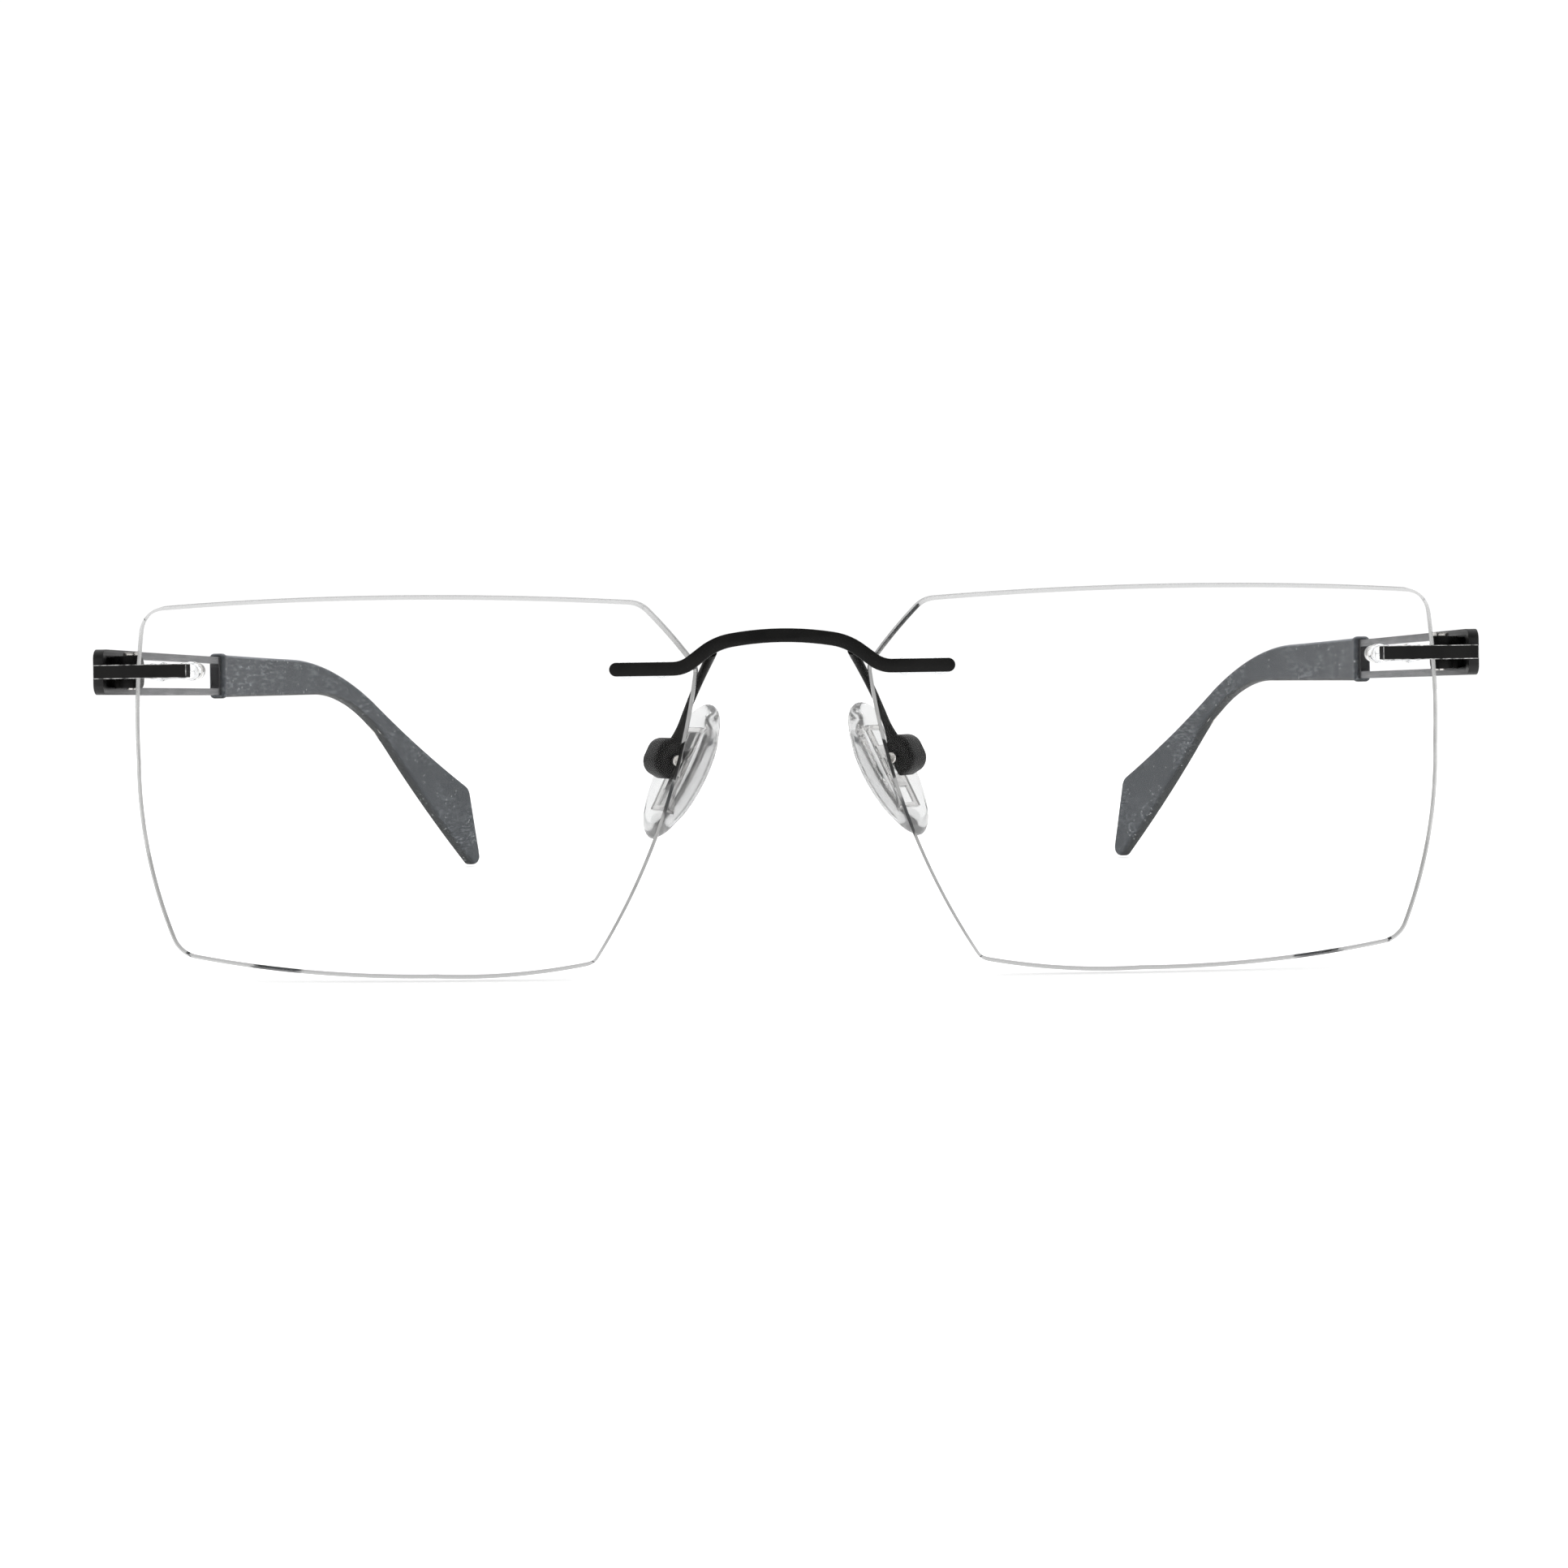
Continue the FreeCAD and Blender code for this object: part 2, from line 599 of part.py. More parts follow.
def pad_insert():
    """Clear rigid plate with three windows and the boss that enters the box."""
    middle = pad_middle()
    low = middle + Vector(INSERT_DEPTH, -INSERT_SIZE.y / 2, -INSERT_SIZE.z / 2)
    shape = block(low, low + INSERT_SIZE)
    for height in (-WINDOW_PITCH, 0.0, WINDOW_PITCH):
        low = middle + Vector(0, -WINDOW_SIZE.y / 2, height - WINDOW_SIZE.z / 2)
        shape = shape.cut(block(low, low + WINDOW_SIZE))
    inner = PAD_BACK + INSERT_DEPTH + INSERT_SIZE.x
    neck = block(Vector(0, -TAB_THICK / 2, -TAB_HALF), Vector(inner, TAB_THICK / 2, TAB_HALF))
    eye = rod(TAB_HALF, Vector(0, -TAB_THICK / 2, 0), Vector(0, TAB_THICK / 2, 0))
    shape = shape.fuse(neck).fuse(eye)
    hole = rod(PAD_SCREW_RADIUS + SCREW_FIT, Vector(0, -PAST, 0), Vector(0, PAST, 0))
    return placed(shape.cut(hole).removeSplitter(), PAD_PLACE)


def nose_pad(insert):
    """Soft oval pad moulded round its insert."""
    middle = pad_middle()
    oval = Part.Ellipse(Vector(0, 0, 0), PAD_LENGTH / 2, PAD_WIDTH / 2)
    face = Part.Face(Part.Wire(oval.toShape()))
    face.Placement = Placement(middle, Rotation(Vector(0, 1, 0), -90))
    blank = face.extrude(Vector(PAD_THICK, 0, 0))
    rims = [e for e in blank.Edges if e.Length > PAD_LENGTH]
    shape = blank.makeFillet(PAD_ROUND, rims)
    return placed(shape, PAD_PLACE).cut(insert)


# ---- Everything together --------------------------------------------------------------

def left_side(bridge):
    """Every piece that is mirrored, by name."""
    end_bar = endpiece()
    frame = temple_frame()
    core = temple_core()
    insert = pad_insert()
    return {
        "lens": lens(),
        "bridge_pins": pins(BRIDGE_SEAT, bridge),
        "bridge_bushing": bushing(BRIDGE_SEAT),
        "pad_arm": pad_arm(bridge),
        "pad_box": pad_box(),
        "pad_screw": pad_screw(),
        "endpiece": end_bar,
        "endpiece_pins": pins(ENDPIECE_SEAT, end_bar),
        "endpiece_bushing": bushing(ENDPIECE_SEAT),
        "hinge_knuckle": hinge_knuckle(),
        "hinge_leaf": hinge_leaf(frame),
        "hinge_screw": hinge_screw(),
        "temple_frame": frame,
        "temple_core": core,
        "temple_sleeve": temple_sleeve(frame, core),
        "nose_pad": nose_pad(insert),
        "pad_insert": insert,
    }


def main():
    """Make every piece, stand the whole centred on Z = 0, and write one file per piece."""
    bridge = bridge_bar()
    nodes = {"bridge_bar": bridge}
    for name, shape in left_side(bridge).items():
        nodes[name + "_left"] = shape
        nodes[name + "_right"] = shape.mirror(Vector(0, 0, 0), Vector(1, 0, 0))
    whole = Part.Compound(list(nodes.values())).optimalBoundingBox(False, False)
    shift = Vector(0, -whole.Center.y, -whole.ZMin)
    os.makedirs("parts", exist_ok=True)
    for name, shape in nodes.items():
        if not shape.isValid():
            raise ValueError(name + " is not a valid solid")
        shape.translate(shift)
        shape.exportStep("parts/" + name + ".step")
    print("size", whole.XLength, whole.YLength, whole.ZLength, "moved by", shift)
    print("hinge axis at", Vector(HINGE_X, HINGE_Y, HINGE_Z) + shift)
    print("pad screw at", PAD_PIVOT + shift, "along", PAD_PLACE.Rotation.multVec(Vector(0, 1, 0)))


main()
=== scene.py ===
"""Looks of the rimless eyeglasses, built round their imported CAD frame.

Working sizes are in millimetres in the maker's drawing frame: x to the wearer's left from the
middle of the bridge, y back from the front of the bridge, z up from the table.
"""
import json
import math

import bmesh
import bpy
import numpy as np
from mathutils import Matrix


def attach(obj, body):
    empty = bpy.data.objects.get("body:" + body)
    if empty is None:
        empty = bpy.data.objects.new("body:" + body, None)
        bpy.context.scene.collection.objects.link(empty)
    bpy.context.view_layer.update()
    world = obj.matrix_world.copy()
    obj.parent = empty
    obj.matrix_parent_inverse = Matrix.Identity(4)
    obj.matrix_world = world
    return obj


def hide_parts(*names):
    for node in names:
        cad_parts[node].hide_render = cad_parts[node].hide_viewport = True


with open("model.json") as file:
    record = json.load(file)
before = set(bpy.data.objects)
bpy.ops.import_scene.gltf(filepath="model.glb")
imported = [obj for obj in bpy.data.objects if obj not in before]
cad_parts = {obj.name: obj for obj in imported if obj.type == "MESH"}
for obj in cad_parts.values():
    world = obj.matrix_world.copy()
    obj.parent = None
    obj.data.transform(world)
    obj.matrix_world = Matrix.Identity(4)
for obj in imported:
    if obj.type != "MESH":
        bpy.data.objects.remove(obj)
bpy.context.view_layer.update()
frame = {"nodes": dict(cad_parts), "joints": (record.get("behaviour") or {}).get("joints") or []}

# ---- Drawing frame ------------------------------------------------------------------------

SIDES = {"left": 1.0, "right": -1.0}
HINGE = np.array([66.2, 7.3, 31.4])
PAD_PIVOT = np.array([11.8, 7.9, 21.7])
left_hinge = next(j for j in frame["joints"] if j["name"] == "temple_left_fold")
# From the drawing frame to the CAD frame, found at the left hinge, which both of them place
OFFSET = np.array(left_hinge["pos_m"], float) * 1000 - HINGE


def to_frame(points, side="left"):
    """Drawing millimetres to frame metres; the right side is the left one mirrored in x."""
    flip = np.array([SIDES[side], 1.0, 1.0])
    return (np.asarray(points, float) * flip + OFFSET) / 1000


# ---- Mesh helpers -------------------------------------------------------------------------

def grid_faces(rows, columns, wrap):
    """Quads of a grid of rows by columns, whose columns join up in a ring if wrap is set."""
    index = np.arange(rows * columns).reshape(rows, columns)
    if wrap:
        index = np.concatenate([index, index[:, :1]], axis=1)
    corners = (index[:-1, :-1], index[:-1, 1:], index[1:, 1:], index[1:, :-1])
    return np.stack(corners, axis=-1).reshape(-1, 4)


MERGE = 2e-6


def cleaned(mesh, merge=MERGE):
    """Seams and poles closed, leftovers removed, faces turned outwards."""
    work = bmesh.new()
    work.from_mesh(mesh)
    bmesh.ops.remove_doubles(work, verts=work.verts, dist=merge)
    bmesh.ops.dissolve_degenerate(work, edges=work.edges, dist=merge / 4)
    bmesh.ops.recalc_face_normals(work, faces=work.faces)
    work.to_mesh(mesh)
    work.free()


def add_mesh(name, grids, materials, smooth_degrees=40.0):
    """A mesh object from grids of frame points: each grid is (points, wrap, row materials)."""
    vertices, faces, indices = [], [], []
    count = 0
    for points, wrap, row_materials in grids:
        rows, columns = points.shape[:2]
        quads = grid_faces(rows, columns, wrap) + count
        faces.append(quads)
        across = len(quads) // (rows - 1)
        picked = np.zeros(rows - 1, int) if row_materials is None else np.asarray(row_materials)
        indices.append(np.repeat(picked, across))
        vertices.append(points.reshape(-1, 3))
        count += rows * columns
    mesh = bpy.data.meshes.new(name)
    mesh.from_pydata(np.concatenate(vertices), [], np.concatenate(faces).tolist())
    for material in materials:
        mesh.materials.append(material)
    mesh.polygons.foreach_set("material_index", np.concatenate(indices).astype(np.int32))
    cleaned(mesh)
    obj = bpy.data.objects.new(name, mesh)
    bpy.context.scene.collection.objects.link(obj)
    shade(obj, smooth_degrees)
    return obj


def shade(obj, degrees):
    """Smooth shading, with every edge over the angle kept crisp."""
    mesh = obj.data
    mesh.polygons.foreach_set("use_smooth", np.ones(len(mesh.polygons), bool))
    mesh.set_sharp_from_angle(angle=math.radians(degrees))


def settle(obj, name):
    """The object with its modifiers made real."""
    bpy.context.view_layer.update()
    graph = bpy.context.evaluated_depsgraph_get()
    mesh = bpy.data.meshes.new_from_object(obj.evaluated_get(graph))
    made = bpy.data.objects.new(name, mesh)
    bpy.context.scene.collection.objects.link(made)
    bpy.data.objects.remove(obj)
    return made


BEVEL_ANGLE = 45.0
FLAT_ANGLE = 1.0


def softened(node, material, width, chamfer=None):
    """A copy of a CAD piece, merged, its flat faces joined and its edges rounded by width mm, or
    cut to a flat chamfer of its own material."""
    mesh = frame["nodes"][node].data.copy()
    mesh.materials.clear()
    mesh.materials.append(material)
    if chamfer is not None:
        mesh.materials.append(chamfer)
    mesh.polygons.foreach_set("material_index", np.zeros(len(mesh.polygons), np.int32))
    for layer in list(mesh.uv_layers):
        mesh.uv_layers.remove(layer)
    cleaned(mesh)
    work = bmesh.new()
    work.from_mesh(mesh)
    bmesh.ops.dissolve_limit(work, angle_limit=math.radians(FLAT_ANGLE), verts=work.verts,
                             edges=work.edges)
    work.to_mesh(mesh)
    work.free()
    obj = bpy.data.objects.new(node + "_raw", mesh)
    bpy.context.scene.collection.objects.link(obj)
    bevel = obj.modifiers.new("rounded edges", "BEVEL")
    bevel.width = width / 1000
    bevel.segments = 3 if chamfer is None else 1
    bevel.limit_method = "ANGLE"
    bevel.angle_limit = math.radians(BEVEL_ANGLE)
    bevel.use_clamp_overlap = True
    bevel.miter_outer = "MITER_ARC"
    if chamfer is not None:
        bevel.material = 1
    obj = settle(obj, node + "_finished")
    shade(obj, 35.0)
    return obj


def hand_over(obj, body, slot, *nodes):
    """The finished piece rides on its body and stands for its CAD nodes; slot is not used."""
    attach(obj, body)
    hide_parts(*nodes)


# ---- Curve helpers ------------------------------------------------------------------------

def wrapped(angle):
    """The same angle, from minus to plus half a turn."""
    return (angle + math.pi) % (2 * math.pi) - math.pi


def three_point_arc(start, via, end):
    """Centre, radius, first angle and swept angle of the circle through three points."""
    (ax, ay), (bx, by), (cx, cy) = start, via, end
    d = 2 * (ax * (by - cy) + bx * (cy - ay) + cx * (ay - by))
    a2, b2, c2 = ax * ax + ay * ay, bx * bx + by * by, cx * cx + cy * cy
    centre = np.array([(a2 * (by - cy) + b2 * (cy - ay) + c2 * (ay - by)) / d,
                       (a2 * (cx - bx) + b2 * (ax - cx) + c2 * (bx - ax)) / d])
    first = math.atan2(ay - centre[1], ax - centre[0])
    middle = math.atan2(by - centre[1], bx - centre[0])
    last = math.atan2(cy - centre[1], cx - centre[0])
    sweep = wrapped(middle - first) + wrapped(last - middle)
    return centre, math.hypot(ax - centre[0], ay - centre[1]), first, sweep


def on_arc(arc, angle):
    """Point of an arc at this angle."""
    return arc[0] + arc[1] * np.array([math.cos(angle), math.sin(angle)])


def heading(arc, angle):
    """Direction of travel along an arc at this angle."""
    return np.array([-math.sin(angle), math.cos(angle)]) * np.sign(arc[3])


def conic_corner(start, control, end, turn, count):
    """Round corner as a rational curve: weights 1, cos(half the turn), 1 on its three points."""
    t = np.linspace(0, 1, count)[:, None]
    weight = math.cos(turn / 2)
    a, b, c = (1 - t) ** 2, 2 * weight * t * (1 - t), t ** 2
    return (a * start + b * control + c * end) / (a + b + c)


def rounded_outline(corners, count=14):
    """Closed outline of straight runs and round corners: each corner is (first, second, radius)."""
    points = [np.array(c[:2], float) for c in corners]
    out = []
    for i, (first, second, radius) in enumerate(corners):
        here = points[i]
        before = points[i - 1] - here
        after = points[(i + 1) % len(points)] - here
        before, after = before / np.linalg.norm(before), after / np.linalg.norm(after)
        if radius == 0:
            out.append(here[None])
            continue
        turn = math.pi - math.acos(np.clip(before @ after, -1, 1))
        reach = radius * math.tan(turn / 2)
        out.append(conic_corner(here + before * reach, here, here + after * reach, turn, count))
    return np.concatenate(out)


def stretch_of(points):
    """Distance of each point along a line of points."""
    steps = np.linalg.norm(np.diff(points, axis=0), axis=1)
    return np.concatenate([[0], np.cumsum(steps)])


def along(points, fractions):
    """Points at these fractions of a line's length."""
    length = stretch_of(points)
    return np.stack([np.interp(np.asarray(fractions) * length[-1], length, points[:, k])
                     for k in range(points.shape[1])], axis=-1)


def outward(outline):
    """Unit vectors that point out of a closed outline, at its points."""
    step = np.roll(outline, -1, axis=0) - np.roll(outline, 1, axis=0)
    step /= np.linalg.norm(step, axis=1)[:, None]
    area = np.sum(outline[:, 0] * np.roll(outline[:, 1], -1)
                  - np.roll(outline[:, 0], -1) * outline[:, 1])
    return np.stack([step[:, 1], -step[:, 0]], axis=1) * np.sign(area)


# ---- Materials ----------------------------------------------------------------------------

def set_range(node, low, high, to_low, to_high):
    """Limits of a Map Range node."""
    limits = {"From Min": low, "From Max": high, "To Min": to_low, "To Max": to_high}
    for name, number in limits.items():
        node.inputs[name].default_value = number


def behind_hinge(millimetres):
    """Frame y, in metres, this far behind the hinge screw."""
    return (HINGE[1] + millimetres + OFFSET[1]) / 1000


class Finish:
    """A material round one Principled shader, with procedural detail in Object coordinates."""

    def __init__(self, name, **constants):
        self.material = bpy.data.materials.new(name)
        self.material.use_nodes = True
        self.tree = self.material.node_tree
        self.shader = self.tree.nodes["Principled BSDF"]
        for socket, value in constants.items():
            self.shader.inputs[socket.replace("_", " ")].default_value = value
        self.coordinates = self.tree.nodes.new("ShaderNodeTexCoord").outputs["Object"]

    def node(self, kind, **settings):
        """A node with these inputs or properties."""
        made = self.tree.nodes.new(kind)
        for name, value in settings.items():
            if name in made.inputs:
                made.inputs[name].default_value = value
            else:
                setattr(made, name, value)
        return made

    def link(self, source, target):
        """A wire between two sockets."""
        self.tree.links.new(source, target)

    def noise(self, millimetres, detail=3.0, stretch=(1, 1, 1), roughness=0.5):
        """Noise whose patches are about this size."""
        place = self.node("ShaderNodeMapping")
        place.inputs["Scale"].default_value = [1000 / millimetres * s for s in stretch]
        self.link(self.coordinates, place.inputs["Vector"])
        made = self.node("ShaderNodeTexNoise", Scale=1.0, Detail=detail, Roughness=roughness)
        self.link(place.outputs[0], made.inputs["Vector"])
        return made.outputs["Fac"]

    def specks(self, millimetres, size):
        """1 inside small round specks that sit in cells of this size, 0 elsewhere."""
        place = self.node("ShaderNodeMapping")
        place.inputs["Scale"].default_value = [1000 / millimetres] * 3
        self.link(self.coordinates, place.inputs["Vector"])
        cells = self.node("ShaderNodeTexVoronoi", Scale=1.0)
        self.link(place.outputs[0], cells.inputs["Vector"])
        return self.span(cells.outputs["Distance"], size, size * 0.5, 0.0, 1.0)

    def span(self, value, low, high, to_low, to_high):
        """The value carried from low..high to to_low..to_high, kept inside."""
        made = self.node("ShaderNodeMapRange")
        set_range(made, low, high, to_low, to_high)
        self.link(value, made.inputs["Value"])
        return made.outputs["Result"]

    def times(self, first, second):
        """Product of two sockets."""
        made = self.node("ShaderNodeMath", operation="MULTIPLY")
        self.link(first, made.inputs[0])
        self.link(second, made.inputs[1])
        return made.outputs[0]

    def blend(self, share, first, second):
        """Colour between two colours or colour sockets, by share."""
        made = self.node("ShaderNodeMix", data_type="RGBA")
        self.link(share, made.inputs[0])
        for socket, colour in ((made.inputs[6], first), (made.inputs[7], second)):
            if isinstance(colour, tuple):
                socket.default_value = (*colour, 1.0)
            else:
                self.link(colour, socket)
        return made.outputs[2]

    def bump(self, height, depth_mm):
        """Relief of this depth."""
        made = self.node("ShaderNodeBump", Distance=depth_mm / 1000, Strength=1.0)
        self.link(height, made.inputs["Height"])
        self.link(made.outputs[0], self.shader.inputs["Normal"])

    def part(self, vector, axis):
        """One coordinate of a vector."""
        made = self.node("ShaderNodeSeparateXYZ")
        self.link(vector, made.inputs[0])
        return made.outputs[axis]

    def set(self, name, value):
        """The shader's named input, driven by a socket."""
        self.link(value, self.shader.inputs[name])


def black_lacquer():
    """Matte black lacquer: fine orange peel, faint patches, rubbed a little smoother."""
    f = Finish("matte_black_lacquer", IOR=1.45, Specular_IOR_Level=0.22)
    patch = f.noise(2.2)
    f.set("Base Color", f.blend(f.span(patch, 0.35, 0.7, 0, 1), (0.0045, 0.0045, 0.0042),
                                (0.0085, 0.0083, 0.0078)))
    f.set("Roughness", f.span(patch, 0.3, 0.7, 0.42, 0.58))
    f.bump(f.noise(0.15, 2.0), 0.0012)
    return f.material


def edge_metal():
    """Bright chamfer where the lacquer stops at an edge."""
    f = Finish("bright_chamfer", Metallic=0.85)
    worn = f.noise(0.6)
    f.set("Base Color", f.blend(f.span(worn, 0.35, 0.65, 0, 1), (0.03, 0.03, 0.03),
                                (0.60, 0.60, 0.59)))
    f.set("Roughness", f.span(worn, 0.3, 0.7, 0.25, 0.4))
    return f.material


# Millimetres behind the hinge: where the lacquer gives way to metal, and the slot's rear end, from
# which painted shade turns the rail near-black
LACQUER_FADE = (1.0, 11.0)
SLOT_END_SHADE = (39.1, 39.5)


def rail_metal():
    """Dark satin metal of the temple frames, with fine grain along their length, black lacquered
    round the hinge, and painted shade that turns it near-black from the slot's rear end back."""
    f = Finish("satin_gunmetal", IOR=1.5, Specular_IOR_Level=0.4)
    grain = f.noise(0.25, 2.0, (1, 0.06, 1))
    patch = f.noise(3.0)
    satin = f.blend(f.span(patch, 0.3, 0.7, 0, 1), (0.085, 0.087, 0.092), (0.125, 0.127, 0.132))
    y = f.part(f.coordinates, "Y")
    fade = [behind_hinge(d) for d in LACQUER_FADE]
    back = f.span(y, *fade, 0.0, 1.0)
    # Painted shade: the rail goes near-black from the slot's rear end back to the sleeve's collar
    slot_end_shade = f.span(y, *[behind_hinge(d) for d in SLOT_END_SHADE], 0.0, 1.0)
    satin = f.blend(slot_end_shade, satin, (0.012, 0.012, 0.014))
    f.set("Base Color", f.blend(back, (0.006, 0.006, 0.006), satin))
    f.set("Metallic", f.span(y, *fade, 0.0, 0.35))
    f.set("Roughness", f.span(grain, 0.3, 0.7, 0.34, 0.48))
    f.bump(grain, 0.001)
    return f.material


def sleeve_plastic():
    """Slate soft-touch plastic: fine tooth, rubbed streaks across it and light dust specks, with a
    painted highlight where it faces up and painted shade where it faces down."""
    f = Finish("slate_soft_plastic", IOR=1.48, Specular_IOR_Level=0.22, Sheen_Weight=0.03,
               Sheen_Roughness=0.4)
    cloud = f.noise(7.0)
    base = f.blend(f.span(cloud, 0.3, 0.7, 0, 1), (0.047, 0.053, 0.060), (0.062, 0.069, 0.077))
    streak = f.noise(0.5, 3.0, (1, 0.22, 1.3), 0.6)
    where = f.span(f.noise(9.0, 2.0), 0.46, 0.6, 0, 1)
    rubbed = f.times(f.span(streak, 0.5, 0.62, 0, 0.7), where)
    base = f.blend(rubbed, base, (0.17, 0.185, 0.20))
    # Painted highlight where the sleeve faces up, painted shade where it faces down
    facing_for_painted_light = f.part(f.node("ShaderNodeNewGeometry").outputs["Normal"], "Z")
    base = f.blend(f.span(facing_for_painted_light, 0.35, 0.85, 0, 0.8), base, (0.30, 0.32, 0.35))
    base = f.blend(f.span(facing_for_painted_light, -0.3, -0.8, 0, 0.8), base, (0.022, 0.023, 0.022))
    dust = f.times(f.specks(0.8, 0.17), f.span(f.noise(2.4, 2.0), 0.42, 0.56, 0, 0.9))
    base = f.blend(dust, base, (0.55, 0.57, 0.58))
    f.set("Base Color", base)
    f.set("Roughness", f.span(streak, 0.3, 0.7, 0.62, 0.5))
    f.bump(f.noise(0.12, 2.0), 0.0015)
    return f.material


def bright_metal():
    """Turned steel of the screws and pins."""
    f = Finish("turned_steel", Metallic=1.0)
    grain = f.noise(0.08, 2.0)
    f.set("Base Color", f.blend(f.span(grain, 0.3, 0.7, 0, 1), (0.55, 0.53, 0.50),
                                (0.85, 0.83, 0.80)))
    f.set("Roughness", f.span(grain, 0.3, 0.7, 0.2, 0.38))
    return f.material


def clear(name, tint, ior, rough_low, rough_high, grain_mm, ripple=0.0, weight=1.0, glint=1.0):
    """Clear plastic: tinted by its colour, with roughness that varies in faint smears, a ripple of
    this depth, and reflections scaled by glint."""
    f = Finish(name, Base_Color=(*tint, 1), IOR=ior, Transmission_Weight=weight,
               Specular_Tint=(glint, glint, glint, 1))
    smear = f.noise(grain_mm, 3.0)
    f.set("Roughness", f.span(smear, 0.35, 0.7, rough_low, rough_high))
    if ripple:
        f.bump(smear, ripple)
    return f.material


# Heights in metres between which a painted highlight lightens the lens edges along their top and
# bottom
LENS_TOP_HIGHLIGHT = (0.033, 0.0375)
LENS_BOTTOM_HIGHLIGHT = (0.002, 0.0045)


def graded_edge(name, low, high, highlight_grey, clearness, rough_low, rough_high, glint):
    """Edge of the lens: mottled between two greys, and a painted highlight of lighter grey along
    its top and its bottom."""
    f = Finish(name, IOR=1.49, Transmission_Weight=clearness,
               Specular_Tint=(glint, glint, glint, 1))
    grain = f.noise(0.5, 3.0, (1, 1, 0.3))
    z = f.part(f.coordinates, "Z")
    # Painted highlight: lighter grey where the edge runs along the top and the bottom of the lens
    above = f.span(z, *LENS_TOP_HIGHLIGHT, 0.0, 1.0)
    below = f.span(z, *LENS_BOTTOM_HIGHLIGHT, 0.8, 0.0)
    sides = f.blend(f.span(grain, 0.3, 0.7, 0, 1), (low, low, low * 0.98),
                    (high, high, high * 0.98))
    edge = f.blend(above, sides, (highlight_grey, highlight_grey, highlight_grey))
    f.set("Base Color", f.blend(below, edge, (highlight_grey, highlight_grey, highlight_grey)))
    f.set("Roughness", f.span(grain, 0.3, 0.7, rough_low, rough_high))
    return f.material


BLACK = black_lacquer()
CHAMFER = edge_metal()
RAIL = rail_metal()
SLATE = sleeve_plastic()
STEEL = bright_metal()
LENS_FACE = clear("clear_lens_polish", (1.0, 1.0, 1.0), 1.49, 0.0, 0.006, 9.0, glint=0.12)
LENS_BEVEL = graded_edge("lens_bevel_polish", 0.11, 0.17, 0.30, 1.0, 0.02, 0.08, 0.4)
LENS_EDGE = graded_edge("lens_edge_ground", 0.02, 0.06, 0.30, 0.3, 0.18, 0.34, 0.6)
PLUG = clear("clear_bushing_plastic", (0.93, 0.94, 0.95), 1.46, 0.02, 0.1, 0.6)
SILICONE = clear("clear_silicone", (0.80, 0.805, 0.805), 1.36, 0.06, 0.16, 1.2, 0.01, 0.86, 0.6)
INSERT = clear("clear_pad_core", (0.82, 0.81, 0.80), 1.40, 0.04, 0.12, 0.8, 0.0, 0.95, 0.6)


# ---- Lenses -------------------------------------------------------------------------------

LENS_CENTRE = np.array([36.85, 0.83, 19.2])
LENS_CURVE = 132.0
LENS_THICK = 1.7
LENS_WRAP = math.radians(3.0)
LENS_TILT = math.radians(8.5)
# Outline about the lens centre, clockwise from the front: where it starts, then for each edge
# a point it passes, its end, and the radius of the corner there
LENS_START = (-22.95, 17.95)
LENS_EDGES = (
    ((2.55, 19.1), (27.3, 18.0), 3.0),
    ((28.25, 10.0), (28.55, 2.6), 0.0),
    ((28.0, -8.75), (25.8, -17.65), 3.0),
    ((12.7, -19.1), (-1.1, -19.55), 0.0),
    ((-10.9, -19.35), (-17.2, -18.5), 2.0),
    ((-24.6, -3.95), (-28.4, 11.3), 1.8),
    ((-25.75, 14.85), LENS_START, 3.0),
)
LENS_RINGS = np.array([0, 0.2, 0.4, 0.6, 0.78, 0.9, 0.97, 1.0])
WALL_STEPS = 4
EDGE_BEVEL = 0.3
SEATS = ((13.6, 30.85), (61.2, 31.4))
PIN_PITCH = 3.4
HOLE_RADIUS = 0.8
DRILL_DEPTHS = (-3, 5)


def lens_turn():
    """Rotation of the lens: tilted about x, then wrapped about z."""
    ct, st, cw, sw = (math.cos(LENS_TILT), math.sin(LENS_TILT), math.cos(LENS_WRAP),
                      math.sin(LENS_WRAP))
    tilt = np.array([[1, 0, 0], [0, ct, -st], [0, st, ct]])
    wrap = np.array([[cw, -sw, 0], [sw, cw, 0], [0, 0, 1]])
    return wrap @ tilt


